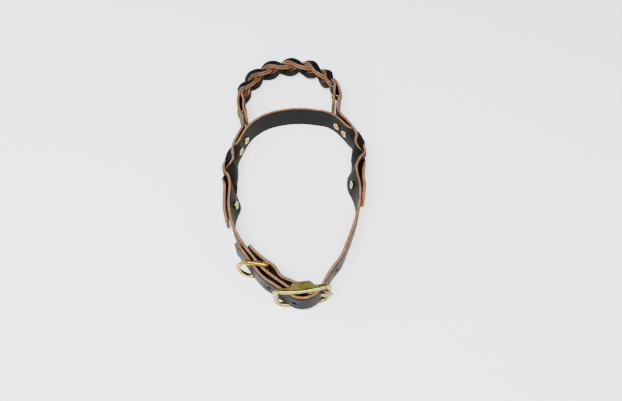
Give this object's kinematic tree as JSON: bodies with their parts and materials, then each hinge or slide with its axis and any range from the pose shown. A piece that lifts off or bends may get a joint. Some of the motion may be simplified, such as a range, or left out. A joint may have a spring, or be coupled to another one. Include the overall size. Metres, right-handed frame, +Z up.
{
  "type": "buckle dog collar with plaited grab handle",
  "caption": "Buckled leather dog collar standing on its edge, with a plaited grab handle spliced and riveted behind the neck and a dee ring beside the buckle.",
  "frame": {"origin": "middle of the collar's footprint, on the surface it stands on", "axes": "+X to the wearer's right as drawn, +Y from the buckle towards the handle, +Z up along the strap's width"},
  "size_m": [0.1456, 0.3074, 0.0357],
  "materials": {
    "strap_leather": "black latigo leather with natural tan cut edges",
    "buckle_brass": "cast pale brass, satin with polished edges",
    "dee_brass": "polished deeper gold brass wire",
    "rivet_brass": "polished brass"
  },
  "bodies": {
    "straps": {"neck_strap": "strap_leather", "handle_strap": "strap_leather", "handle_lining": "strap_leather", "rivet_neck_left_rear": "rivet_brass", "rivet_neck_left_front": "rivet_brass", "rivet_neck_right_rear": "rivet_brass", "rivet_neck_right_front": "rivet_brass", "rivet_tail_left": "rivet_brass", "rivet_tail_right": "rivet_brass", "rivet_handle_left": "rivet_brass", "rivet_handle_right": "rivet_brass", "rivet_fold_rear": "rivet_brass", "rivet_fold_front": "rivet_brass"},
    "buckle": {"buckle_frame": "buckle_brass"},
    "tongue": {"buckle_tongue": "buckle_brass"},
    "dee": {"dee_ring": "dee_brass"}
  },
  "joints": [
    {"name": "buckle_rock", "type": "hinge", "parent": "straps", "child": "buckle", "pos_m": [0.00807, -0.14257, 0.0178], "axis": [0, 0, 1], "range_deg": [-1.5, 1.5]},
    {"name": "tongue_lift", "type": "hinge", "parent": "buckle", "child": "tongue", "pos_m": [0.00807, -0.14257, 0.0178], "axis": [0, 0, -1], "range_deg": [0, 1.5]},
    {"name": "dee_swing", "type": "hinge", "parent": "straps", "child": "dee", "pos_m": [-0.0239, -0.12135, 0.01726], "axis": [0, 0, 1], "range_deg": [-3, 70]}
  ]
}
